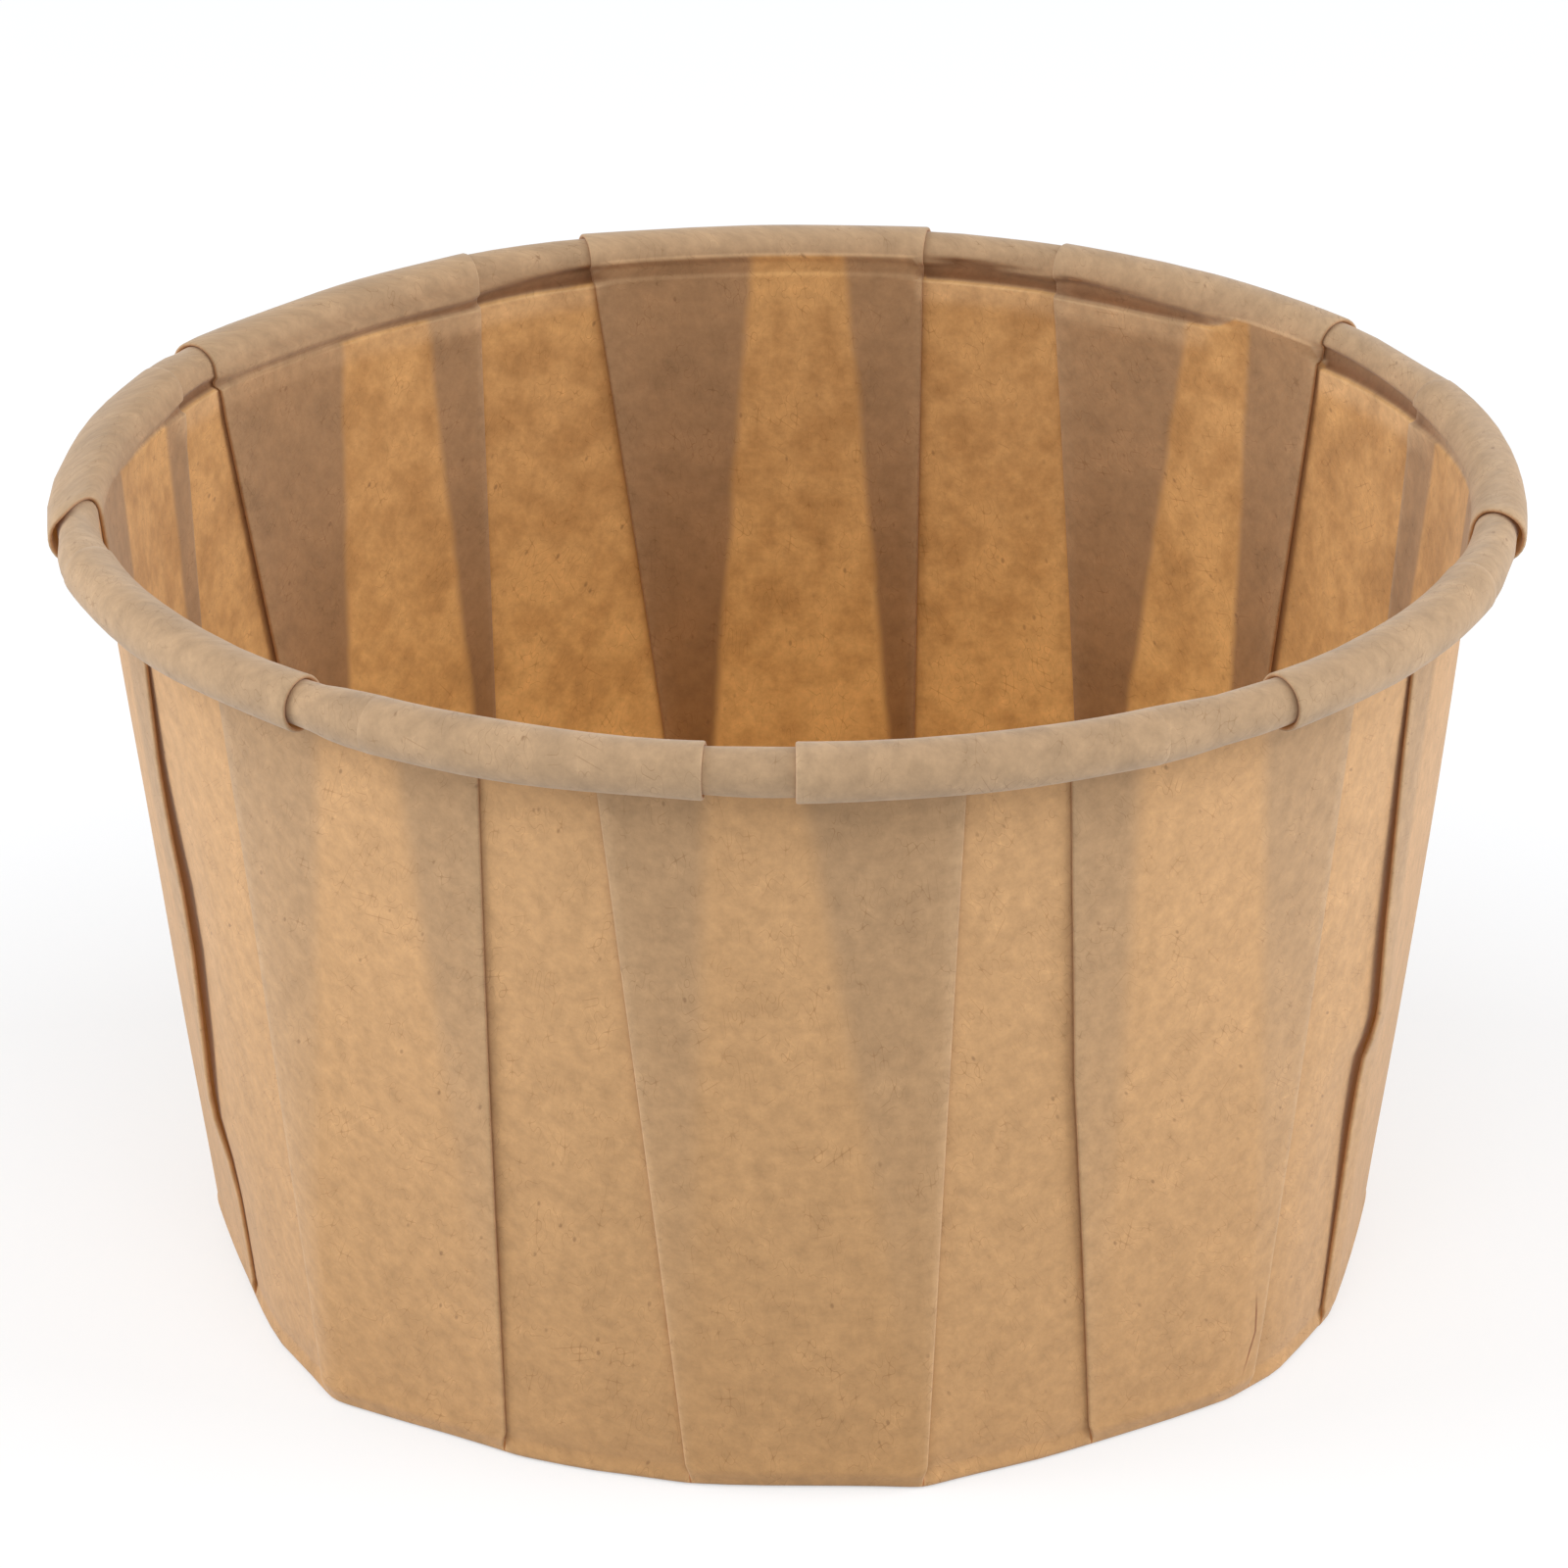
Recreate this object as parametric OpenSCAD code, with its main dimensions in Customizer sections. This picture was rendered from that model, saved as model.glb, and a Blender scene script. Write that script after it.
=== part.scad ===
// Pleated paper portion cup, folded from one round sheet of kraft paper.
// The bottom stands on the XY plane with its middle at the origin, and +Z points up out of the mouth.
// The front of the cup faces -Y, and pleats are counted from there towards +X.

/* [Overall size] */
// Diameter across the outside of the rolled rim
rim_d = 73; // [66:0.5:90]
// Height from the surface that the cup stands on to the top of the rim
cup_h = 40.5; // [25:0.5:60]
// Diameter of the bottom across its corners
base_d = 61; // [44:0.5:64]

/* [Paper] */
// Thickness of the paper
paper_t = 0.12; // [0.1:0.01:0.2]
// Air between two layers of a pleat
layer_gap = 0.04; // [0.03:0.01:0.12]

/* [Rolled rim] */
// Thickness of the roll where a pleat makes it three layers thick
roll_d = 2.8; // [2.2:0.1:4]
// Air between the tucked end of the roll and the wall
tuck_gap = 0.25; // [0.1:0.05:0.5]

/* [Bottom] */
// Outside radius of the bend from the bottom into the wall
bend_r = 0.5; // [0.5:0.1:2]

/* [Pleats] */
// Number of pleats, always even because inner and outer panels take turns
pleats = 18; // [12:2:20]
// Height at which each pleat lies flat against the wall
pleat_flat_h = 2.2; // [2.2:0.1:6]
// Width of each pleat at its point, beside the bottom
pleat_point_w = 0.1; // [0.05:0.05:0.5]
// Share of the wall's round that the pleats cover at the rim
pleat_cover = 0.475; // [0.3:0.005:0.6]

/* [Hidden] */

// The pleats of a hand-folded cup are uneven. Each list has one value for each pleat of the photographed cup.
// Degrees by which each corner of the bottom lies off an even spacing
corner_nudge = [2, -1, -2, -8.5, -1, -2.5, 0, -2.5, -2.5, -0.5, 1, 0.5, 2.5, 2, 7.5, 2.5, 3, 1];
// Widths of the pleats at the rim, each against the others
pleat_widths = [12, 6, 11, 8, 10, 6, 8.5, 14, 7, 15, 5.5, 16, 4, 11.5, 8, 12.5, 7.5, 9];
// Degrees by which the middle of each pleat leans aside from the bottom to the rim
pleat_leans = [-4.5, -4, -1.5, 2.5, -4, -0.5, 0.5, 1.5, 4, 1.5, 1, 1.5, -4, -2.5, -5.5, 1.5, -2, -2];
listed = len(pleat_widths);

// How finely the bends are divided
bend_steps = 2;
fold_steps = 3;
roll_steps = 7;
// Spacing of the points beside a fold where the pleat is narrower than its own paper
fold_step = 0.15;

// From one layer of a pleat to the next, and from its middle layer to its outer face
pitch = paper_t + layer_gap;
stack = pitch + paper_t / 2;

// The wall is the straight line that touches the bend of the bottom and the roll of the rim.
// Each place in this profile is a radius and a height, on the middle of the paper.
roll_r = roll_d / 2 - stack;
roll_at = [(rim_d - roll_d) / 2, cup_h - roll_d / 2];
bend_mid_r = bend_r - paper_t / 2;
bend_at = [base_d / 2 - bend_r, bend_r];
reach = roll_at - bend_at;
taper = atan2(reach[0], reach[1]) - asin((bend_mid_r + roll_r) / norm(reach));
wall_foot = bend_at + bend_mid_r * outward(taper);
wall_top = roll_at - roll_r * outward(taper);
flat_share = (pleat_flat_h - wall_foot[1]) / (wall_top[1] - wall_foot[1]);
// The roll goes round until its own outside would come too near the wall
roll_turn = 360 - acos((roll_r - stack - tuck_gap) / (roll_r + stack));

// Where the outer face of the paper looks, for a lean of 90 under the bottom and less on the wall
function outward(lean) = [cos(lean), -sin(lean)];

// A ring of the cup: place in the profile, outward way, share of the wall below it, and how far its pleats are folded
function ring(at, lean, share, fold) = [at, outward(lean), share, fold];

bend_rings = [
    for (i = [0 : bend_steps])
        let (lean = 90 - (90 - taper) * i / bend_steps)
            ring(bend_at + bend_mid_r * outward(lean), lean, 0, 0)
];
fold_rings = [
    for (i = [1 : fold_steps])
        let (share = flat_share * i / fold_steps)
            ring(wall_foot + (wall_top - wall_foot) * share, taper, share, 180 * i / fold_steps)
];
middle_share = (1 + flat_share) / 2;
middle_ring = ring(wall_foot + (wall_top - wall_foot) * middle_share, taper, middle_share, 180);
roll_rings = [
    for (i = [0 : roll_steps])
        let (lean = taper + roll_turn * i / roll_steps)
            ring(roll_at - roll_r * outward(lean), lean, 1, 180)
];
rings = concat(bend_rings, fold_rings, [middle_ring], roll_rings);

// Pleat k, with the pleats before the first and after the last counted round
function pick(list, k) = list[((k + pleats) % pleats) % listed];
// Even pleats start in an outer panel and end in an inner one, and odd pleats the other way
function side(k) = (k + pleats) % 2 == 0 ? 1 : -1;

// All the widths added up
function total(list, k) = k < 0 ? 0 : pick(list, k) + total(list, k - 1);
width_sum = total(pleat_widths, pleats - 1);

// Degrees of wall that pleat k covers, and the direction of its middle, at a share of the wall's height
function span(k, share) = 360 * pleat_cover * pick(pleat_widths, k) / width_sum * share;
function middle(k, share) =
    (k + 0.5) * 360 / pleats + (pick(corner_nudge, k) + pick(pleat_leans, k) * share) * listed / pleats;

// A level cut through one pleat. Each point has a distance along the wall and off it, the heading of the paper
// there, and how much further its faces lie from it because the paper turns.
function pleat_cut(k, r) =
    let (
        fold = r[3],
        s = side(k),
        width = pleat_point_w + span(k, r[2]) * r[0][0] * PI / 180,
        inner_x = -width / 2 * cos(fold),
        inner_y = width / 2 * sin(fold) * s,
        outer_x = inner_x - pitch * cos(fold / 2),
        outer_y = inner_y + pitch * sin(fold / 2) * s,
        near_x = min(0, outer_x - fold_step),
        far_x = min(-outer_x, outer_x - 2 * fold_step),
        corner = 1 / cos(fold / 4)
    )
    [
        [far_x, outer_y, 0, 1],
        [near_x, outer_y, 0, 1],
        [outer_x, outer_y, -s * fold / 4, corner],
        [inner_x, inner_y, -s * fold * 3 / 4, corner],
        [0, 0, -s * fold, 1],
        [-inner_x, -inner_y, -s * fold * 3 / 4, corner],
        [-outer_x, -outer_y, -s * fold / 4, corner],
        [-near_x, -outer_y, 0, 1],
        [-far_x, -outer_y, 0, 1]
    ];

// The bottom has straight sides from corner to corner, and this is how far they lie inside the corners' circle
function side_depth(k, x, share, turn) =
    let (
        before = middle(x < 0 ? k - 1 : k, share),
        after = middle(x < 0 ? k : k + 1, share)
    )
    base_d / 2 * (1 - cos((after - before) / 2) / cos(turn - (before + after) / 2));

// A point of the cup from the cut of pleat k: on the outer face for a face of 1, on the inner for -1
function place(k, r, p, face) =
    let (
        off = face * paper_t / 2 * p[3],
        x = p[0] - off * sin(p[2]),
        y = p[1] + off * cos(p[2]),
        turn = middle(k, r[2]) + x / r[0][0] * 180 / PI,
        radius = r[0][0] - (1 - r[2]) * side_depth(k, x, r[2], turn) + y * r[1][0]
    )
    [radius * sin(turn), -radius * cos(turn), r[0][1] + y * r[1][1]];

// The middle of the panel between pleat k and the next
function panel_point(k, r, face) =
    let (
        cut = pleat_cut(k, r),
        last = cut[len(cut) - 1],
        next = pleat_cut(k + 1, r)[0],
        gap = (middle(k + 1, r[2]) - middle(k, r[2])) * PI / 180 * r[0][0],
        x = (last[0] + next[0] + gap) / 2
    )
    place(k, r, [x, (last[1] + next[1]) / 2, 0, 1], face);

function skin(r, face) = [
    for (k = [0 : pleats - 1])
        each concat([for (p = pleat_cut(k, r)) place(k, r, p, face)], [panel_point(k, r, face)])
];

module cup() {
    last_ring = len(rings) - 1;
    // Rows of points up the outer face, over the edge inside the roll, and down the inner face
    rows = concat(
        [for (i = [0 : last_ring]) skin(rings[i], 1)],
        [for (i = [last_ring : -1 : 0]) skin(rings[i], -1)]
    );
    around = len(rows[0]);
    last_row = len(rows) - 1;
    under_middle = around * len(rows);
    points = concat([for (row = rows) each row], [[0, 0, 0], [0, 0, paper_t]]);
    faces = [
        for (i = [0 : around - 1])
            let (j = (i + 1) % around)
                each concat(
                    [[under_middle, i, j]],
                    [for (q = [0 : last_row - 1]) each [
                        [q * around + i, (q + 1) * around + i, (q + 1) * around + j],
                        [q * around + i, (q + 1) * around + j, q * around + j]
                    ]],
                    [[last_row * around + i, under_middle + 1, last_row * around + j]]
                )
    ];
    color([0.80, 0.64, 0.45])
        polyhedron(points, faces);
}

cup();
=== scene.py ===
import math

import bpy
import numpy as np
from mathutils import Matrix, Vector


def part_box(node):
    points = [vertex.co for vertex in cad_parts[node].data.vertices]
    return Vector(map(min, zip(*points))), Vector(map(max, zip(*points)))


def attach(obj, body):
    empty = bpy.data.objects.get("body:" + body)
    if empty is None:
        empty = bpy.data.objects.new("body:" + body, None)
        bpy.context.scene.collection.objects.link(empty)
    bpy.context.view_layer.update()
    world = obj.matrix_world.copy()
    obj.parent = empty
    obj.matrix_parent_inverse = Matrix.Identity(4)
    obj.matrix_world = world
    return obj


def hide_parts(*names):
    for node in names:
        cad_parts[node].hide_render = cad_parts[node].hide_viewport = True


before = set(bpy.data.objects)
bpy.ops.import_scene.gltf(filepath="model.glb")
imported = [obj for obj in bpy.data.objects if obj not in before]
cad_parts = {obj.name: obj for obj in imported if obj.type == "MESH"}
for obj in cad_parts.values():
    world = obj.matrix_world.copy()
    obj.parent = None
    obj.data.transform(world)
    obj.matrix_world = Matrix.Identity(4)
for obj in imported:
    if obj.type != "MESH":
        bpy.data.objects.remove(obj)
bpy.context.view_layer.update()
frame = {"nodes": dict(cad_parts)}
print("frame loaded:", ", ".join(frame["nodes"]))


def screenColour(red, green, blue):
    # a colour as seen on screen, 0 to 255, turned into the linear one that nodes take
    linear = []
    for part in (red, green, blue):
        part = part / 255
        linear.append(part / 12.92 if part <= 0.04045 else ((part + 0.055) / 1.055) ** 2.4)
    return (*linear, 1.0)


def easeStep(value, low, high):
    share = np.clip((value - low) / (high - low), 0.0, 1.0)
    return share * share * (3 - 2 * share)


def bump(value, middle, spread):
    return np.exp(-((value - middle) / spread) ** 2)


class Wire:
    # one output socket, so that shader maths reads as plain sums
    def __init__(self, socket):
        self.socket = socket

    def sum(self, operation, first, second=0.0):
        tree = self.socket.id_data
        step = tree.nodes.new("ShaderNodeMath")
        step.operation = operation
        for slot, given in zip(step.inputs, (first, second)):
            if isinstance(given, Wire):
                tree.links.new(given.socket, slot)
            else:
                slot.default_value = given
        return Wire(step.outputs[0])

    def __add__(self, other):
        return self.sum("ADD", self, other)

    def __radd__(self, other):
        return self.sum("ADD", other, self)

    def __sub__(self, other):
        return self.sum("SUBTRACT", self, other)

    def __rsub__(self, other):
        return self.sum("SUBTRACT", other, self)

    def __mul__(self, other):
        return self.sum("MULTIPLY", self, other)

    def __rmul__(self, other):
        return self.sum("MULTIPLY", other, self)

    def __abs__(self):
        return self.sum("ABSOLUTE", self)


class Finish:
    # the nodes of a material or a world, with one method that adds any node to them
    def __init__(self, owner):
        owner.use_nodes = True
        self.owner = owner
        self.tree = owner.node_tree
        self.tree.nodes.clear()

    def node(self, kind, settings=None, inputs=None, output=0):
        made = self.tree.nodes.new("ShaderNode" + kind)
        for name, value in (settings or {}).items():
            setattr(made, name, value)
        for name, value in (inputs or {}).items():
            if isinstance(value, Wire):
                self.tree.links.new(value.socket, made.inputs[name])
            else:
                made.inputs[name].default_value = value
        return Wire(made.outputs[output]) if made.outputs else made

    def attribute(self, name, output="Fac"):
        return self.node("Attribute", {"attribute_name": name}, output=output)

    def fade(self, value, low, high):
        # 0 below low, 1 above high, eased between
        return self.node("MapRange", {"interpolation_type": "SMOOTHSTEP", "clamp": True},
                         {"Value": value, "From Min": low, "From Max": high})

    def mix(self, share, first, second, way="MIX"):
        return self.node("Mix", {"data_type": "RGBA", "blend_type": way, "clamp_factor": True},
                         {0: share, 6: first, 7: second}, output=2)

    def noise(self, place, scale, detail=2.0, roughness=0.5):
        return self.node("TexNoise", None, {"Vector": place, "Scale": scale, "Detail": detail,
                                            "Roughness": roughness})

    def moved(self, place, shift, stretch=(1, 1, 1), turn=0.0):
        return self.node("Mapping", None, {"Vector": place, "Location": shift, "Scale": stretch,
                                           "Rotation": (0, 0, math.radians(turn))})


cup = {
    "paper": 0.09,         # mm, thickness of the sheet where it is pressed into pleats
    "layerGap": 0.025,     # air between two layers of a pleat
    "rollAcross": 2.74,    # rolled rim where a pleat makes it three layers thick
    "tuckGap": 0.25,       # air between the tucked end of the roll and the wall
    "baseAcross": 60.3,    # circle that the bottom's outline is measured from
    "bendRadius": 0.25,    # bottom into wall, on the outside
    "flatHeight": 1.2,     # where the pleats have folded flat
    "pointWidth": 0.1,     # a pleat at its point
    "dish": 0.25,          # how far the middle of the bottom stands off the table
    "outerReach": 3.0,     # how far from an outer fold its opening is felt
    "innerReach": 1.4,
    "besideFold": 1.5,     # the sheet is finely divided at least this far from a fold
    "flushReach": 2.6,     # how far from a flush fold the paper rises to meet it
    "deepest": 4.0,        # how deep into a pleat's layers the material still tells how deep it is
    "farDown": 50.0,       # how far below the top of the wall the bottom counts as
    "sideFlat": 0.85,      # how straight the bottom's sides run between its corners
    "cornerSoft": 1.0,     # degrees over which those corners are eased
}

# The pleats, counted from the front towards +X. Degrees round the cup of each pleat's corner at the bottom
# and of its inner and outer fold at the rim, then how far the folds stand open, in mm.
pleatColumns = ("corner", "inner", "outer", "outerOpen", "innerOpen", "rollOpen")
pleats = [
    (11.9, 0.7, 13.6, 0.05, 0.04, 0.05),
    (29.2, 28.2, 22.4, 0.14, 0.05, 0.02),
    (47.8, 40.2, 51.8, 0.03, 0.05, 0.08),
    (62.7, 68.0, 62.3, 0.10, 0.05, 0.05),
    (89.0, 80.8, 90.0, 0.06, 0.06, 0.26),
    (107.5, 110.0, 104.0, 0.10, 0.05, 0.05),
    (130.2, 126.5, 135.0, 0.08, 0.26, 0.06),
    (147.3, 155.5, 141.7, 0.20, 0.04, 0.03),
    (167.5, 168.1, 174.8, 0.08, 0.10, 0.04),
    (189.4, 197.7, 183.5, 0.12, 0.06, 0.08),
    (211.0, 209.0, 214.5, 0.05, 0.04, 0.03),
    (230.4, 240.2, 224.0, 0.15, 0.26, 0.06),
    (252.5, 246.7, 250.5, 0.05, 0.05, 0.04),
    (272.0, 275.5, 264.0, 0.10, 0.06, 0.30),
    (291.8, 288.0, 293.8, 0.10, 0.05, 0.05),
    (312.6, 320.2, 307.5, 0.03, 0.05, 0.11),
    (333.0, 327.5, 335.0, 0.11, 0.05, 0.02),
    (351.1, 353.5, 344.9, 0.05, 0.04, 0.05),
]
# Outer folds that don't run straight: share of the wall's height, and degrees off the straight line
crookedFolds = {
    1: [(0.0, 0.0), (0.25, -0.5), (0.4, -0.8), (0.54, -1.0), (0.8, -0.5), (1.0, 0.0)],
}
# Outer folds that gape: share of the height, how far the fold stands out, and how wide it gapes, in mm
gapingFolds = {
    2: [(0.0, 0.0, 0.0), (0.03, 0.05, 0.16), (0.1, 0.1, 0.24), (0.16, 0.03, 0.06), (0.25, 0.0, 0.02),
        (1.0, 0.0, 0.03)],
    3: [(0.0, 0.0, 0.03), (0.1, 0.0, 0.08), (0.2, 0.0, 0.16), (0.3, 0.02, 0.3), (0.38, 0.14, 0.34),
        (0.43, 0.6, 0.34), (0.46, 0.64, 0.34), (0.55, 0.45, 0.34), (0.67, 0.3, 0.28),
        (0.8, 0.12, 0.18), (0.94, 0.0, 0.06), (1.0, 0.0, 0.0)],
    14: [(0.0, 0.0, 0.0), (0.03, -0.08, 0.0), (0.14, -0.1, 0.0), (0.2, 0.04, 0.05), (0.27, 0.4, 0.16),
         (0.31, 0.42, 0.26), (0.37, 0.28, 0.34), (0.5, 0.02, 0.4), (0.59, 0.02, 0.4),
         (0.67, 0.14, 0.34), (0.76, 0.2, 0.24), (0.86, 0.1, 0.14), (0.94, 0.0, 0.05), (1.0, 0.0, 0.0)],
}
# Inner folds that slant round the roll, in degrees from its inner to its outer side
slantingFolds = {4: -0.8, 13: 4.6}
# Inner folds that the roll presses flush with the paper beside them, and how fully
flushFolds = {1: 1.0, 3: 1.0, 5: 0.9, 7: 0.4, 10: 0.5, 12: 0.9, 14: 1.0, 16: 1.0}
# The bottom's outline: degrees round the cup, and how far it reaches past its circle there, in mm
bottomOutline = [
    (2, 0.13), (7, 0.36), (11.9, 0.95), (16, 0.38), (24, -0.07), (39, -0.2), (45, 0.15), (52, 0.14),
    (58.7, -0.34), (65, -0.5), (89, -0.9), (107.5, -0.5), (130.2, -0.2), (147.3, -0.3), (167.5, 0.0),
    (189.4, -0.2), (211, -0.3), (230.4, -0.1), (252.5, -0.5), (272, -1.25), (297.3, -1.05),
    (302, -0.6), (308.3, -0.12), (314.2, 0.78), (321, 0.12), (327, -0.2), (331, -0.15), (334.5, 0.05),
    (341.2, 0.08), (345.5, 0.02), (350.8, 0.24), (356, 0.15),
]
# The rim's unevenness: degrees round the cup, and how far it lies out and how far up from its circle, in mm
rimOutline = [
    (0, 0), (45, 0), (60, -0.15), (76, -0.3), (90, -0.3), (112, -0.22), (122, 0.1), (150, 0.12),
    (165, 0), (210, 0), (219, -0.2), (225, -0.38), (232, -0.42), (240, -0.12), (250, -0.36),
    (266, -0.42), (275, -0.15), (285, 0), (320, 0),
]
rimRise = [
    (130, 0), (146, 0.04), (157, 0.22), (166, 0.22), (174, 0.12), (184, 0.08), (200, 0.16), (214, 0.0),
    (232, -0.04), (250, 0),
]
# The groove pressed in under the roll, inside, with painted shade in it: degrees round the cup, how far
# below the wall's top the roll's pale paper ends, how far down the groove's lower edge lies, and its height
# and depth, all in mm
grooves = [
    (62, 0.1, 0.2, 0.2, 0.0), (88, 0.15, 0.2, 0.2, 0.0), (100, 0.6, 0.6, 0.4, 0.12),
    (110, 0.9, 0.9, 0.75, 0.3), (118, 1.0, 1.0, 0.9, 0.36), (126, 1.15, 1.15, 1.15, 0.38),
    (127.2, 0.12, 0.2, 0.3, 0.0), (136.5, 0.12, 0.2, 0.3, 0.0), (139, 0.95, 0.95, 0.4, 0.25),
    (146, 1.15, 1.15, 0.7, 0.34), (155, 1.2, 1.2, 1.1, 0.42), (156.2, 1.1, 1.1, 0.35, 0.4),
    (161, 1.1, 1.1, 0.95, 0.45), (165, 1.1, 1.1, 1.15, 0.45), (167.7, 1.1, 1.1, 0.7, 0.42),
    (168.6, -0.05, 0.9, 0.7, 0.1), (182, -0.05, 0.95, 0.75, 0.1), (188, -0.03, 0.95, 0.75, 0.14),
    (197.2, 0.0, 0.9, 0.7, 0.12), (198.1, 1.1, 1.1, 0.95, 0.45), (203, 1.1, 1.1, 0.75, 0.42),
    (208.5, 1.2, 1.2, 0.5, 0.38), (210, 1.35, 1.35, 0.4, 0.3), (222, 1.2, 1.2, 0.28, 0.24),
    (239.5, 1.0, 1.0, 0.25, 0.22), (240.8, 1.0, 1.0, 0.6, 0.34), (246.4, 1.0, 1.0, 0.5, 0.3),
    (250, 0.95, 0.95, 0.25, 0.2), (260, 0.8, 0.8, 0.2, 0.12), (268, 0.15, 0.2, 0.2, 0.0),
    (285, 0.1, 0.2, 0.2, 0.0),
]
# Where the roll ends in a thin lip with a painted highlight along it: degrees round the cup, and how fully
# it shows
lipHighlightPlaces = [(124, 0), (128, 1), (136, 1), (139, 0), (167, 0), (169, 1), (197, 1), (199, 0)]

# The short crease low on the outside, drawn only as a dark line of painted shade, in mm and in degrees
# round the cup
crease = {
    "heights": (1.2, 3.6, 5.9),
    "degrees": (46.2, 47.3, 46.8),    # where it runs at those heights
    "low": (0.9, 2.2),                # its lower end fades in between these heights
    "high": (6.0, 5.2),
    "near": 2.0,                      # how far from it the material still tells how far it is
}


def cupProfile():
    # The rings that the sheet runs through, from the edge of the flat bottom to the tucked end of the roll
    low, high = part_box("cup")
    rimAcross = (high[0] - low[0]) * 1000
    tall = high[2] * 1000
    pitch = cup["paper"] + cup["layerGap"]
    stack = pitch + cup["paper"] / 2
    rollRadius = cup["rollAcross"] / 2 - stack
    rollAt = np.array([(rimAcross - cup["rollAcross"]) / 2, tall - cup["rollAcross"] / 2])
    bendRadius = cup["bendRadius"] - cup["paper"] / 2
    bendAt = np.array([cup["baseAcross"] / 2 - cup["bendRadius"], cup["bendRadius"]])
    reach = rollAt - bendAt
    taper = math.atan2(reach[0], reach[1]) - math.asin((bendRadius + rollRadius) / np.linalg.norm(reach))

    def outward(lean):
        return np.stack([np.cos(lean), -np.sin(lean)], -1)

    foot = bendAt + bendRadius * outward(taper)
    top = rollAt - rollRadius * outward(taper)
    wallLength = np.linalg.norm(top - foot)
    flatShare = (cup["flatHeight"] - foot[1]) / (top[1] - foot[1])
    rollTurn = 2 * math.pi - math.acos((rollRadius - stack - cup["tuckGap"]) / (rollRadius + stack))

    # Rings lie closer together at the bend, where the pleats start, and in the groove under the roll
    bendLean = np.linspace(math.pi / 2, taper, 6)
    stops = ((0, 0), (flatShare, 6), (1 - 3.0 / wallLength, 30), (1 - 1.6 / wallLength, 5), (1, 16))
    shares = np.concatenate([np.linspace(stops[n][0], stops[n + 1][0], stops[n + 1][1] + 1)[1:]
                             for n in range(len(stops) - 1)])
    rollAngles = np.concatenate([np.linspace(0, 1.1, 13)[1:], np.linspace(1.1, rollTurn, 20)[1:]])

    count = (len(bendLean), len(shares), len(rollAngles))
    at = np.concatenate([
        bendAt + bendRadius * outward(bendLean),
        foot + (top - foot) * shares[:, None],
        rollAt - rollRadius * outward(taper + rollAngles),
    ])
    share = np.concatenate([np.zeros(count[0]), shares, np.ones(count[2])])
    return {
        "at": at,
        "lean": np.concatenate([bendLean, np.full(count[1], taper), taper + rollAngles]),
        "share": share,
        "fold": np.clip(share / flatShare, 0, 1) * math.pi,
        # distance along the sheet, counted from the top of the wall
        "along": np.concatenate([-wallLength - bendRadius * (bendLean - taper), (shares - 1) * wallLength,
                                 rollAngles * rollRadius]),
        "roll": np.concatenate([np.zeros(count[0] + count[1]), rollAngles]),
        "pitch": pitch,
    }


def roundAbout(turn, stops, soft):
    # value in each direction, from stops in degrees round the cup, eased over some degrees
    fine = np.arange(0, 360, 0.5)
    value = np.interp(fine, *zip(*stops), period=360)
    weight = bump((fine + 180) % 360 - 180, 0, soft)
    value = np.fft.ifft(np.fft.fft(value) * np.fft.fft(weight / weight.sum())).real
    return np.interp(np.degrees(turn), fine, value, period=360)


def bottomReach(turn):
    # How far the bottom lies outside its circle in each direction, with straight sides between its corners
    corners = [(math.radians(at + lap), cup["baseAcross"] / 2 + past)
               for lap in (-360, 0, 360) for at, past in bottomOutline]
    at, size = (np.array(part) for part in zip(*corners))
    fine = np.radians(np.arange(-360, 720, 0.25))
    before = np.clip(np.searchsorted(at, fine, side="right") - 1, 0, len(at) - 2)
    start, end = at[before], at[before + 1]
    first, last = size[before], size[before + 1]
    straight = first * last * np.sin(end - start) / (
        first * np.sin(fine - start) + last * np.sin(end - fine))
    curved = first + (last - first) * (fine - start) / (end - start)
    outline = curved + (straight - curved) * cup["sideFlat"]
    weight = bump(np.arange(-12, 13) * 0.25, 0, cup["cornerSoft"])
    outline = np.convolve(outline, weight / weight.sum(), mode="same")
    return np.interp(turn, fine, outline) - cup["baseAcross"] / 2


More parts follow.
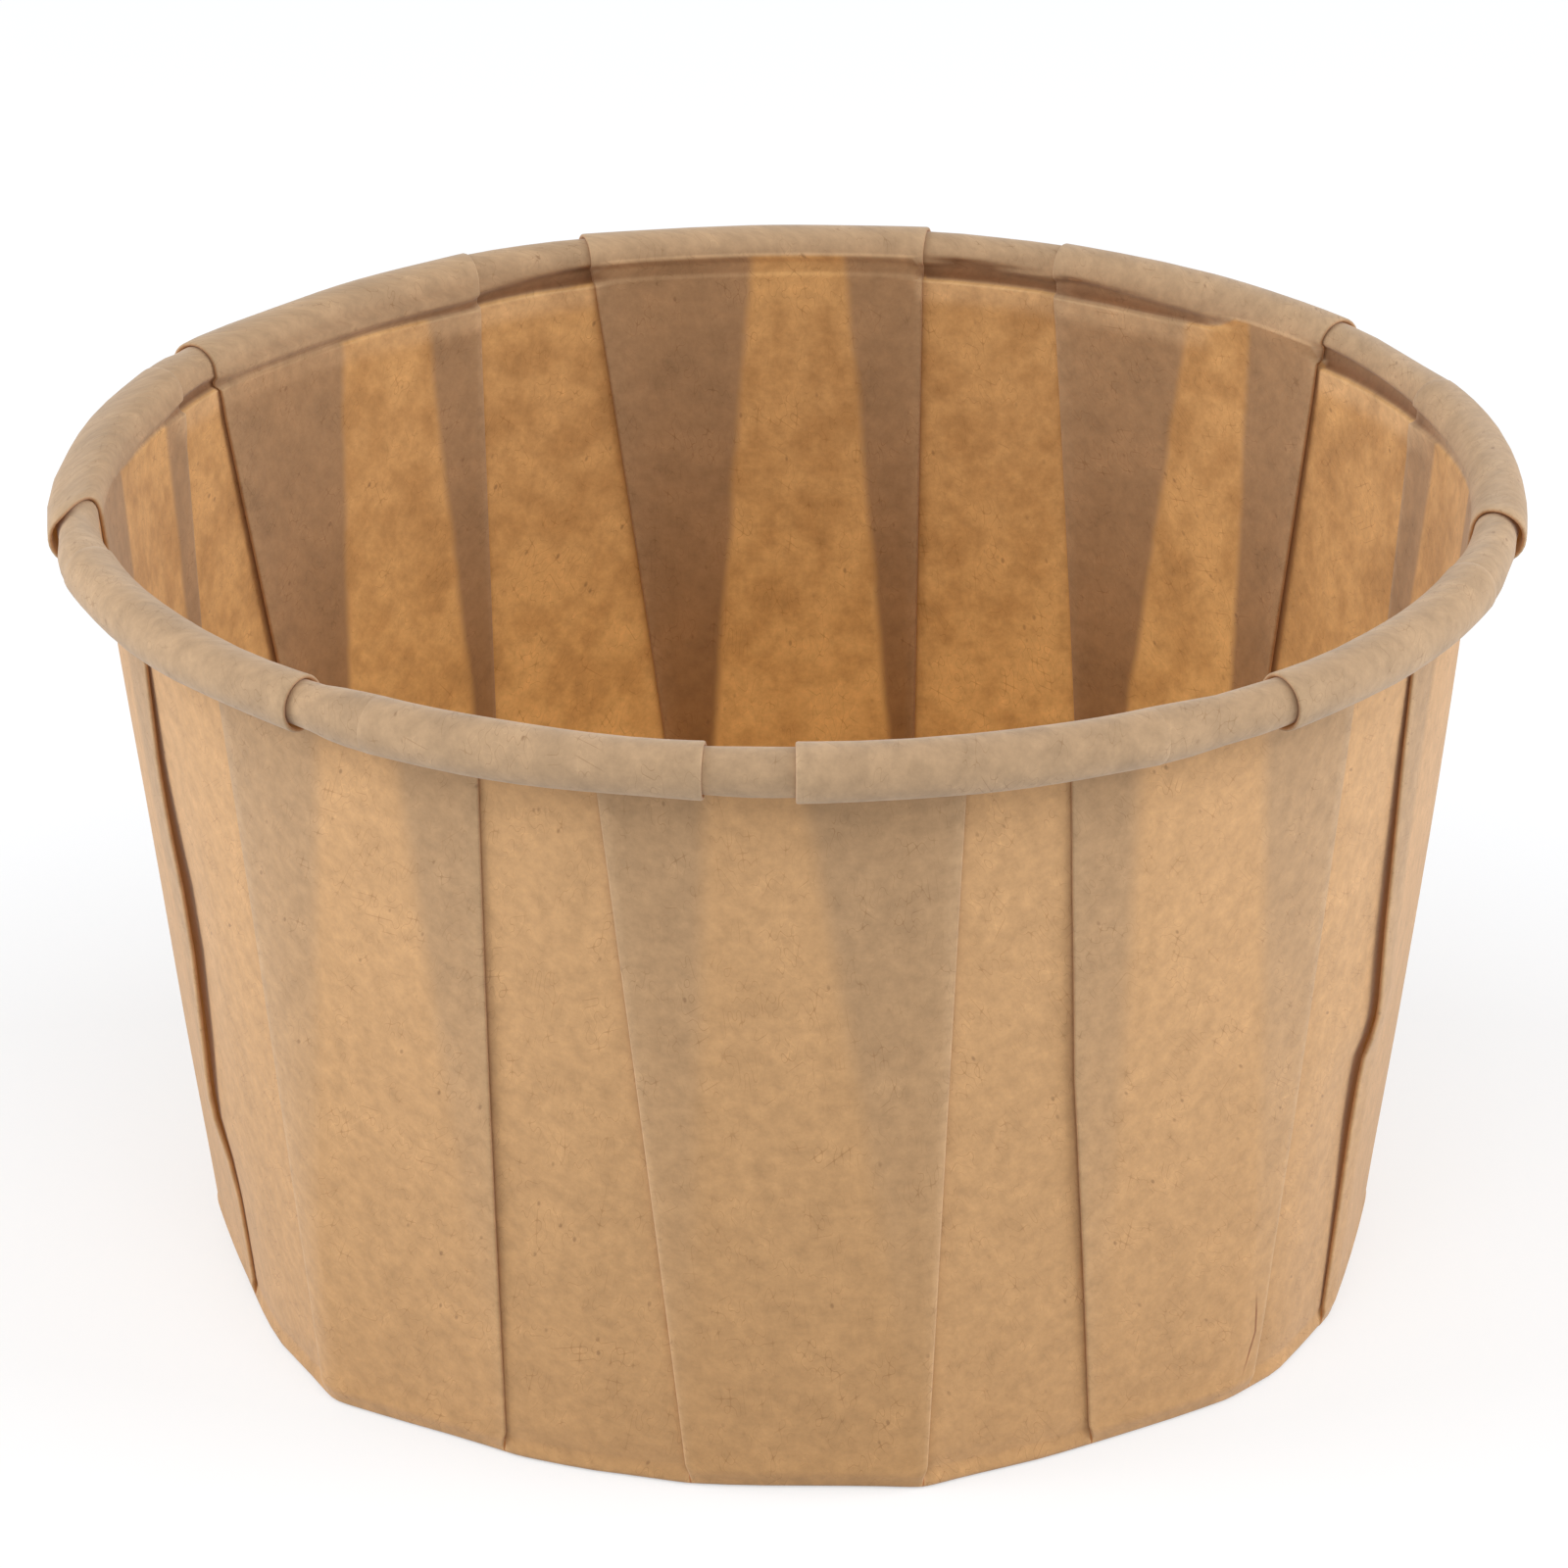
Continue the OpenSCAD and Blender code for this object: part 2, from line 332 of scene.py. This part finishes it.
def foldedSheet():
    ring = cupProfile()
    number = len(pleats)
    ringRadius = ring["at"][:, 0][:, None]
    share = ring["share"][:, None]
    fold = ring["fold"][:, None]
    side = np.where(np.arange(number) % 2 == 0, 1.0, -1.0)[None, :]
    halfPitch = ring["pitch"] / 2
    wrapLow = -360 * (np.arange(number) == 0)
    wrapHigh = 360 * (np.arange(number) == number - 1)

    def everyPleat(name):
        column = pleatColumns.index(name)
        return np.array([pleat[column] for pleat in pleats])[None, :]

    # Degrees of the two folds of each pleat at every ring
    corner = everyPleat("corner")
    innerLine = corner + (everyPleat("inner") - corner) * share
    outerLine = corner + (everyPleat("outer") - corner) * share
    for k, kinks in crookedFolds.items():
        outerLine[:, k] += np.interp(ring["share"], *zip(*kinks))
    for k, slant in slantingFolds.items():
        innerLine[:, k] += slant * easeStep(ring["roll"], 0.5, 2.2)
    middle = (innerLine + outerLine) / 2
    width = np.maximum((outerLine - innerLine) * side, 0) * math.pi / 180 * ringRadius + cup["pointWidth"]
    halfTurn = np.degrees(width / 2 / ringRadius)
    edgeLow = middle - halfTurn
    edgeHigh = middle + halfTurn

    # Middle of the single layer between two pleats, and how far it is from each pleat's own middle
    panelMiddle = (np.roll(edgeHigh, 1, axis=1) + wrapLow + edgeLow) / 2
    toLow = np.radians(middle - panelMiddle) * ringRadius
    toHigh = np.radians(np.roll(panelMiddle, -1, axis=1) + wrapHigh - middle) * ringRadius

    # One level cut through every pleat: coming panel, first fold, middle layer, second fold, leaving panel.
    # Each column has its place along and off the wall, its heading, its layer and how worn it is.
    startX = -width / 2 * np.cos(fold) - halfPitch * np.sin(fold)
    startY = width / 2 * np.sin(fold) + halfPitch * (1 - np.cos(fold))
    panelY = (np.roll(startY, 1, axis=1) + startY) / 2
    panelYHigh = np.roll(panelY, -1, axis=1)
    beside = np.maximum(width, cup["besideFold"])
    columns = []

    def addColumn(x, y, heading, level, worn=0.0):
        columns.append(np.stack(np.broadcast_arrays(x, y, heading, level, worn)))

    single = (0.0, 0.5, 0.93)            # shares of the way to the next part of the cut
    double = (0.0, 0.35, 0.65, 0.88)
    bend = (0.0, 0.25, 0.5, 0.75, 1.0)
    for part in single:
        addColumn(-toLow + (startX - beside + toLow) * part, panelY + (startY - panelY) * part, 0.0, 1.0)
    for part in double:
        addColumn(startX - beside * (1 - part), startY, 0.0, 1.0, 0.3 * (part > 0.8))
    for part in bend:
        turn = fold * part
        addColumn(startX + halfPitch * np.sin(turn), startY - halfPitch * (1 - np.cos(turn)), turn,
                  1 - part, 1.0)
    for part in (0.15, 0.5, 0.85):
        addColumn(-width / 2 * np.cos(fold) * (1 - 2 * part), width / 2 * np.sin(fold) * (1 - 2 * part),
                  fold, 0.0)
    for part in bend[::-1]:
        turn = fold * part
        addColumn(-startX - halfPitch * np.sin(turn), -startY + halfPitch * (1 - np.cos(turn)), turn,
                  part - 1, 1.0)
    for part in double[::-1]:
        addColumn(-startX + beside * (1 - part), -startY, 0.0, -1.0, 0.3 * (part > 0.8))
    for part in single[:0:-1]:
        addColumn(toHigh + (-startX + beside - toHigh) * part,
                  -(panelYHigh + (startY - panelYHigh) * part), 0.0, -1.0)
    x, y, heading, level, wear = np.stack(columns, -1)
    side = side[:, :, None]
    y = y * side
    level = level * side

    # How far each fold stands out, and how wide it gapes, up the wall and round the roll
    climb = ring["share"]
    onWall = easeStep(climb, 0.04, 0.4) * easeStep(1 - climb, 0.03, 0.45)
    outerGape = everyPleat("outerOpen") * onWall[:, None]
    outerOut = outerGape * 0.5
    for k, stops in gapingFolds.items():
        heights, out, gape = zip(*stops)
        outerOut[:, k] = np.interp(climb, heights, out)
        outerGape[:, k] = np.interp(climb, heights, gape)
    rollPart = easeStep(ring["along"], -2.5, 0)
    rollShape = easeStep(ring["roll"], 0.3, 1.0) * (0.25 + 0.75 * easeStep(ring["roll"], 1.4, 3.0))
    lowerWall = easeStep(climb, 0.05, 0.3) * (1 - 0.55 * easeStep(climb, 0.5, 1))
    innerGape = (everyPleat("innerOpen") * (lowerWall * (1 - rollPart))[:, None]
                 + everyPleat("rollOpen") * rollShape[:, None])
    innerOut = innerGape * 0.3

    def felt(distance, reach):
        return np.exp(-(np.abs(distance) / reach) ** 1.5)

    nearOuter = felt(x - side * startX[:, :, None], cup["outerReach"])
    nearInner = felt(x + side * startX[:, :, None], cup["innerReach"])
    outerOut, outerGape, innerOut, innerGape = (
        values[:, :, None] for values in (outerOut, outerGape, innerOut, innerGape))
    y = y + outerOut * nearOuter - innerOut * nearInner
    y = y + np.clip(level, 0, 1) * innerGape * nearInner - np.clip(-level, 0, 1) * outerGape * nearOuter

    # On the roll some folds are pressed in until they lie flush with the single layer beside them
    beyond = -side * x - startX[:, :, None]
    flush = np.array([flushFolds.get(k, 0) for k in range(number)])[None, :, None]
    flush = flush * easeStep(ring["roll"], 0.2, 0.9)[:, None, None]
    y = y - 2 * ring["pitch"] * flush * np.clip(level, 0, 1) * (
        easeStep(beyond, -0.28, -0.02) * bump(beyond, 0, cup["flushReach"]))
    wear = wear * (1 - flush * nearInner)

    # How deep each point lies inside the three layers of the nearest pleat, in mm
    turn = np.radians(middle)[:, :, None] + x / ringRadius[:, :, None]
    degrees = np.degrees(turn)
    place = np.arange(turn.shape[2])
    upToFold = len(single) + len(double) + len(bend)
    coming = place < upToFold
    leaving = place > len(place) - upToFold
    depth = np.where(coming, degrees - edgeLow[:, :, None], edgeHigh[:, :, None] - degrees)
    depth = np.where(coming | leaving, depth, 99)
    lastHigh = (np.roll(edgeHigh, 1, axis=1) + wrapLow)[:, :, None]
    nextLow = (np.roll(edgeLow, -1, axis=1) + wrapHigh)[:, :, None]
    depth = np.maximum(depth, np.where(coming, lastHigh - degrees, -99))
    depth = np.maximum(depth, np.where(leaving, degrees - nextLow, -99))
    depth = np.clip(np.radians(depth) * ringRadius[:, :, None], -cup["deepest"], cup["deepest"])

    turn, y, heading, level, wear, depth, sided = (
        values.reshape(len(ringRadius), -1)
        for values in (turn, y, heading, level, wear, depth, side + 0 * turn))
    normalX = np.sin(heading) * sided
    normalY = np.cos(heading)
    along, roll, lean = (ring[name][:, None] for name in ("along", "roll", "lean"))

    # The groove under the roll, and the strip below it that leans in. The groove gets painted shade, and
    # the strip and the lip where the roll ends get a painted highlight
    degrees = np.degrees(turn)
    stopsAt, *marks = zip(*grooves)
    edge, low, height, deep = (np.interp(degrees, stopsAt, mark, period=360) for mark in marks)
    pressed = easeStep(along, -low - 0.08, -low + 0.12)
    pressed = pressed * (1 - easeStep(along, height - low - 0.15, height - low + 0.2))
    strip = easeStep(deep, 0.15, 0.3) * easeStep(along, -low - 1.9, -low - 0.6)
    strip = strip * (1 - easeStep(along, -low - 0.1, -low))
    y = y + deep * pressed - 0.08 * strip
    # a painted highlight along the roll's lower end
    lipHighlight = bump(along, 0.06 - edge, 0.09) * (1 - easeStep(deep, 0.18, 0.25))
    lipHighlight = lipHighlight * easeStep(roundAbout(turn, lipHighlightPlaces, 1), 0, 1)
    # painted shade in the groove; the tone is painted highlight on the strip and lip, less that shade
    shadow = pressed * np.clip(deep / 0.32, 0, 1) * (1 - 0.5 * np.clip((along + low) / height, 0, 1))
    tone = 0.7 * strip + lipHighlight - shadow

    # How far each point lies from the short crease, in mm, and how much of it shows there
    tall = ring["at"][:, 1][:, None]
    creaseLine = np.interp(tall, crease["heights"], crease["degrees"])
    creaseAway = np.clip(np.radians(degrees - creaseLine) * ringRadius, -crease["near"], crease["near"])
    creasePart = easeStep(tall, *crease["low"]) * easeStep(tall, *crease["high"])
    creasePart = creasePart * bump(degrees, crease["degrees"][-1], 6)

    # Slow unevenness of a hand-pressed cup
    sway = roundAbout(turn, rimOutline, 3) * share ** 2
    bow = (0.1 + 0.06 * np.sin(7 * turn + 1.3 + 3 * share)) * np.sin(math.pi * share)
    lump = 0.03 * np.sin(11 * turn + 0.5) + 0.025 * np.sin(19 * turn + 2.0 * roll)
    rollHold = easeStep(roll, 0.2, 1.4)
    y = y + bow - lump * rollHold
    rise = roundAbout(turn, rimRise, 4) * share ** 4

    outRadius = ringRadius + (1 - share) * bottomReach(turn) + y * np.cos(lean) + sway
    points = np.stack([outRadius * np.sin(turn), -outRadius * np.cos(turn),
                       ring["at"][:, 1][:, None] - y * np.sin(lean) + rise], -1)
    facing = np.stack([
        normalX * np.cos(turn) + normalY * np.cos(lean) * np.sin(turn),
        normalX * np.sin(turn) - normalY * np.cos(lean) * np.cos(turn),
        -normalY * np.sin(lean),
    ], -1)

    # Where each point lies on the flat round sheet that the cup is folded from
    out = ring["at"][0, 0] + along - ring["along"][0]
    step = np.linalg.norm(np.diff(points, axis=1, append=points[:, :1]), axis=-1)
    passed = np.cumsum(step, axis=1)
    flatTurn = 2 * math.pi * (passed - step) / passed[:, -1:]
    flatPlace = np.stack([out * np.sin(flatTurn), -out * np.cos(flatTurn)], -1)
    return {"points": points, "facing": facing, "depth": depth, "wear": wear, "flatPlace": flatPlace,
            "along": along + edge, "tone": tone, "level": level,
            "creaseAway": creaseAway, "creasePart": creasePart}


def buildCup():
    sheet = foldedSheet()
    around = sheet["points"].shape[1]
    half = cup["paper"] / 2
    inward = np.linspace(0, 1, 8)[1:-1, None]    # the bottom runs in from the first ring to the middle

    def bothFaces(values, bottom):
        return np.concatenate([bottom, values, values[::-1], bottom[::-1]])

    def steady(value):
        return np.full((len(inward), around), float(value))

    skins = []
    for face in (half, -half):
        skin = sheet["points"] + sheet["facing"] * face
        bottom = skin[:1] * inward[..., None]
        bottom[..., 2] = skin[:1, :, 2] + cup["dish"] * (1 - inward ** 2) ** 1.5
        skins.append(np.concatenate([bottom, skin]))
    rows = np.concatenate([skins[0], skins[1][::-1]])
    count = len(rows)
    middles = np.array([[0, 0, cup["dish"]], [0, 0, cup["dish"] + cup["paper"]]])
    vertices = np.concatenate([rows.reshape(-1, 3), middles]) / 1000

    inside = np.concatenate([np.zeros(count // 2 * around), np.ones(count // 2 * around), [0, 1]])
    flatPlace = bothFaces(sheet["flatPlace"], sheet["flatPlace"][:1] * inward[..., None]).reshape(-1, 2)
    flatPlace = np.concatenate([flatPlace, np.zeros((2, 2))])
    # far apart in the noise, so that the two faces have their own fibres
    flatPlace = np.concatenate([flatPlace, inside[:, None] * 40], 1)
    # faces that only show where a fold gapes, each layer's far side in the pleat, which get painted shade
    # and a painted glow
    deepIn = easeStep(sheet["depth"], 0.0, 0.35)
    between = [deepIn * easeStep(way * sheet["level"], -0.7, -0.3) for way in (-1, 1)]
    traits = {
        "bandDepth": (bothFaces(sheet["depth"], steady(-cup["deepest"])), -cup["deepest"]),
        "foldWear": (bothFaces(sheet["wear"], steady(0)), 0),
        "pastTop": (bothFaces(sheet["along"], steady(-cup["farDown"])), -cup["farDown"]),
        "paintedShadeAndHighlight": (bothFaces(sheet["tone"], steady(0)), 0),
        "creaseAway": (bothFaces(sheet["creaseAway"], steady(crease["near"])), crease["near"]),
        "creasePart": (bothFaces(sheet["creasePart"], steady(0)), 0),
        "layerGapShade": (np.concatenate([steady(0), between[0], between[1][::-1], steady(0)]), 0),
    }

    index = np.arange(count * around).reshape(count, around)
    following = np.roll(index, -1, axis=1)
    faces = np.stack([index[:-1], following[:-1], following[1:], index[1:]], -1).reshape(-1, 4).tolist()
    under = count * around
    faces += [[under, b, a] for a, b in zip(index[0].tolist(), following[0].tolist())]
    faces += [[under + 1, a, b] for a, b in zip(index[-1].tolist(), following[-1].tolist())]

    mesh = bpy.data.meshes.new("cupPaper")
    mesh.from_pydata(vertices.tolist(), [], faces)
    mesh.polygons.foreach_set("use_smooth", [True] * len(mesh.polygons))
    for name, (values, middle) in traits.items():
        values = np.concatenate([values.ravel(), [middle, middle]])
        mesh.attributes.new(name, "FLOAT", "POINT").data.foreach_set("value", values)
    mesh.attributes.new("insideFace", "FLOAT", "POINT").data.foreach_set("value", inside)
    mesh.attributes.new("flatPlace", "FLOAT_VECTOR", "POINT").data.foreach_set("vector", flatPlace.ravel())
    made = bpy.data.objects.new("cupPaper", mesh)
    bpy.context.scene.collection.objects.link(made)
    print("cup folded:", len(mesh.polygons), "faces")
    return made


paperLook = {
    # the single layer's lighter, warmer tone, most of all inside, is painted light coming through the thin
    # paper
    "outsideSingle": screenColour(195, 152, 105),
    "outsideLow": screenColour(182, 140, 93),
    "outsideTriple": screenColour(173, 138, 100),
    "insideSingle": screenColour(197, 151, 95),
    "insideSingleLow": screenColour(225, 177, 105),
    "insideTriple": screenColour(159, 124, 88),
    "insideTripleLow": screenColour(141, 98, 49),
    "deepCloud": (0.84, 0.76, 0.66, 1),        # tint of the darker clouds in the single layer inside
    "roll": screenColour(173, 143, 110),
    # painted shade in the groove under the roll
    "grooveShadow": screenColour(112, 68, 32),
    # painted highlight on the leaning strip under the groove and on the roll's lip
    "paintedHighlight": screenColour(224, 190, 148),
    # painted shade in the gaping folds, also used for the crease's dark line
    "layerGapShade": screenColour(128, 74, 34),
    "betweenGlow": screenColour(100, 62, 24),  # light that comes through the paper into a gaping fold
    "cloud": 0.22,                             # how strongly the slow clouds of pulp show
    "mottle": 0.68,                            # the flecks about a millimetre across
}


def kraftPaper():
    finish = Finish(bpy.data.materials.new("kraftPaper"))
    finish.owner.cycles.emission_sampling = "NONE"    # the glow in the folds lights nothing
    place = finish.attribute("flatPlace", "Vector")
    inside = finish.attribute("insideFace")
    pastTop = finish.attribute("pastTop")
    wear = finish.attribute("foldWear")
    shadeAndHighlight = finish.attribute("paintedShadeAndHighlight")
    between = finish.attribute("layerGapShade")

    # Slow clouds of pulp, then flecks down to single fibres
    clouds = finish.noise(place, 0.36, 1, 0.6)
    mottle = finish.noise(finish.moved(place, (11, 3, 0)), 1.15, 4, 0.7)

    # Bands where a pleat makes the paper three layers thick, painted darker and greyer than the single
    # layer, whose warmer tone is painted
    # light coming through the thin paper: soft outside and gone at the bottom, and crisper inside
    bandDepth = finish.attribute("bandDepth") + (clouds - 0.5) * 0.5 + (mottle - 0.5) * 0.5
    band = finish.fade(bandDepth * (1.6 + inside * 1.6), -1, 1)
    climb = finish.fade(pastTop, -42, -4)
    # The outside is painted darker towards the bottom, as shade
    outsideSingle = finish.mix(climb, paperLook["outsideLow"], paperLook["outsideSingle"])
    outsideColour = finish.mix(band * climb, outsideSingle, paperLook["outsideTriple"])
    # Inside, lower down, the single layer is painted brighter, as light, and the three layers darker, as
    # shade
    depth = finish.fade(pastTop, -34, -4)
    insideTriple = finish.mix(depth, paperLook["insideTripleLow"], paperLook["insideTriple"])
    insideSingle = finish.mix(depth, paperLook["insideSingleLow"], paperLook["insideSingle"])
    deep = finish.fade(clouds * 1.4 + mottle * 0.6, 1.25, 0.75)
    insideSingle = finish.mix(deep * 0.6, insideSingle, paperLook["deepCloud"], "MULTIPLY")
    insideColour = finish.mix(band, insideSingle, insideTriple)
    colour = finish.mix(inside, outsideColour, insideColour)
    colour = finish.mix(finish.fade(pastTop, -0.1, 0.15) * inside, colour, paperLook["roll"])
    # Painted shade in the groove under the roll, and painted highlight on the strip below it and on the
    # roll's lip
    colour = finish.mix(finish.fade(shadeAndHighlight, 0, -1) * inside * 0.9, colour, paperLook["grooveShadow"])
    colour = finish.mix(finish.fade(shadeAndHighlight, 0, 1) * inside * 0.4, colour, paperLook["paintedHighlight"])
    # Painted shade in the gaping folds
    colour = finish.mix(between * 0.8, colour, paperLook["layerGapShade"])

    # Painted shade along one short crease, low on the outside
    creaseShadow = 1 - finish.fade(abs(finish.attribute("creaseAway")), 0.03, 0.1)
    creaseShadow = creaseShadow * finish.attribute("creasePart") * (1 - inside)
    colour = finish.mix(creaseShadow * 0.85, colour, paperLook["layerGapShade"])

    shade = 1 + (clouds - 0.5) * (paperLook["cloud"] + inside * 0.2) + (mottle - 0.5) * paperLook["mottle"]
    colour = finish.node("VectorMath", {"operation": "SCALE"}, {0: colour, "Scale": shade})

    # Short dark and pale fibres lying every way
    for shift, turn, tone, few, many in (((3, 1, 0), 20, (0.62, 0.54, 0.44, 1), 0.52, 0.64),
                                         ((9, 4, 0), 95, (0.68, 0.60, 0.50, 1), 0.48, 0.36),
                                         ((1, 8, 0), 150, (1.16, 1.17, 1.19, 1), 0.52, 0.64)):
        lines = finish.noise(finish.moved(place, shift, (1.0, 0.5, 1.0), turn), 2.4, 0)
        thin = 1 - finish.fade(abs(lines - 0.5), 0.004, 0.018)
        colour = finish.mix(thin * finish.fade(clouds, few, many) * 0.6, colour, tone, "MULTIPLY")

    # A few dark specks of bark, and paper rubbed pale along its folds
    specks = finish.node("TexVoronoi", {"feature": "F1"},
                         {"Vector": finish.moved(place, (2, 6, 0), (1, 0.6, 1), 35), "Scale": 1.1})
    dot = (1 - finish.fade(specks, 0.05, 0.14)) * finish.fade(clouds, 0.5, 0.62)
    colour = finish.mix(dot * 0.5, colour, screenColour(112, 76, 46))
    colour = finish.mix(wear * 0.18 * mottle, colour, screenColour(226, 196, 158))

    relief = finish.noise(finish.moved(place, (5, 17, 0)), 1.7, 1, 0.6)
    surface = finish.node("Bump", None, {"Strength": 0.35, "Distance": 0.00012, "Height": relief * 0.6})
    glow = finish.mix(between, (0, 0, 0, 1), paperLook["betweenGlow"])
    shader = finish.node("BsdfPrincipled", None, {
        "Base Color": colour, "Roughness": 0.9 - mottle * 0.16, "Normal": surface,
        "Specular IOR Level": 0.3, "Emission Color": glow, "Emission Strength": 0.8,
        "Sheen Weight": 0.22, "Sheen Roughness": 0.5})
    finish.node("OutputMaterial", None, {"Surface": shader})
    return finish.owner


paper = buildCup()
paper.data.materials.append(kraftPaper())
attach(paper, "root")
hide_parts("cup")
print("kraft paper laid on")


studio = {
    "floorAcross": 4.0,          # m
    "floorDown": 0.00005,        # just clear of the cup's bottom
    "floorColour": (0.73, 0.75, 0.775, 1),
    "floorGlow": 0.35,           # share of plain white that the camera sees in the floor
    "glowLevel": 1.44,
    "skyLight": 0.53,
    "sideLamps": 3.0,            # W
    "frontLamp": 1.7,
    "lampsAim": (0, 0, 0.02),    # the middle of the cup
}

floorMesh = bpy.data.meshes.new("floor")
reach = studio["floorAcross"] / 2
corners = [(x, y, -studio["floorDown"]) for x, y in ((-reach, -reach), (reach, -reach), (reach, reach),
                                                     (-reach, reach))]
floorMesh.from_pydata(corners, [], [(0, 1, 2, 3)])
floor = bpy.data.objects.new("floor", floorMesh)
bpy.context.scene.collection.objects.link(floor)
pale = Finish(bpy.data.materials.new("paleFloor"))
matt = pale.node("BsdfDiffuse", None, {"Color": studio["floorColour"]})
white = pale.node("Emission", None, {"Color": (1, 1, 1, 1), "Strength": studio["glowLevel"]})
seen = pale.node("LightPath", output="Is Camera Ray") * studio["floorGlow"]
pale.node("OutputMaterial", None, {"Surface": pale.node("MixShader", None, {0: seen, 1: matt, 2: white})})
floorMesh.materials.append(pale.owner)

sky = Finish(bpy.data.worlds.new("studio"))
bpy.context.scene.world = sky.owner
dim = sky.node("Background", None, {"Color": (1, 1, 1, 1), "Strength": studio["skyLight"]})
bright = sky.node("Background", None, {"Color": (1, 1, 1, 1), "Strength": 1.0})
sky.node("OutputWorld", None, {"Surface": sky.node("MixShader", None, {
    0: sky.node("LightPath", output="Is Camera Ray"), 1: dim, 2: bright})})


def softLamp(name, power, size, at):
    light = bpy.data.lights.new(name, "AREA")
    light.energy = power
    light.shape = "RECTANGLE"
    light.size = size[0]
    light.size_y = size[1]
    lamp = bpy.data.objects.new(name, light)
    lamp.location = at
    way = np.array(studio["lampsAim"]) - np.array(at)
    flatWay = math.hypot(way[0], way[1])
    lamp.rotation_euler = (math.atan2(flatWay, -way[2]), 0, math.atan2(-way[0], way[1]))
    lamp.visible_camera = False    # a side view would show it as a white panel
    bpy.context.scene.collection.objects.link(lamp)


softLamp("leftLamp", studio["sideLamps"], (0.5, 0.5), (-0.6, -0.05, 0.25))
softLamp("rightLamp", studio["sideLamps"], (0.5, 0.5), (0.6, -0.05, 0.25))
softLamp("frontLamp", studio["frontLamp"], (0.6, 0.4), (0, -0.5, 0.6))
print("studio lit")

view = {
    "focal": 180.0,               # mm, on a sensor 36 mm wide
    "place": (-0.00024, -0.35967, 0.17858),
    "tilt": 23.336,               # degrees down
}
lens = bpy.data.cameras.new("photoCamera")
lens.sensor_width = 36
lens.lens = view["focal"]
lens.clip_start = 0.01
eye = bpy.data.objects.new("photoCamera", lens)
eye.location = view["place"]
eye.rotation_euler = (math.radians(90 - view["tilt"]), 0, 0)
bpy.context.scene.collection.objects.link(eye)
bpy.context.scene.camera = eye
bpy.context.scene.view_settings.view_transform = "Standard"
print("camera placed")
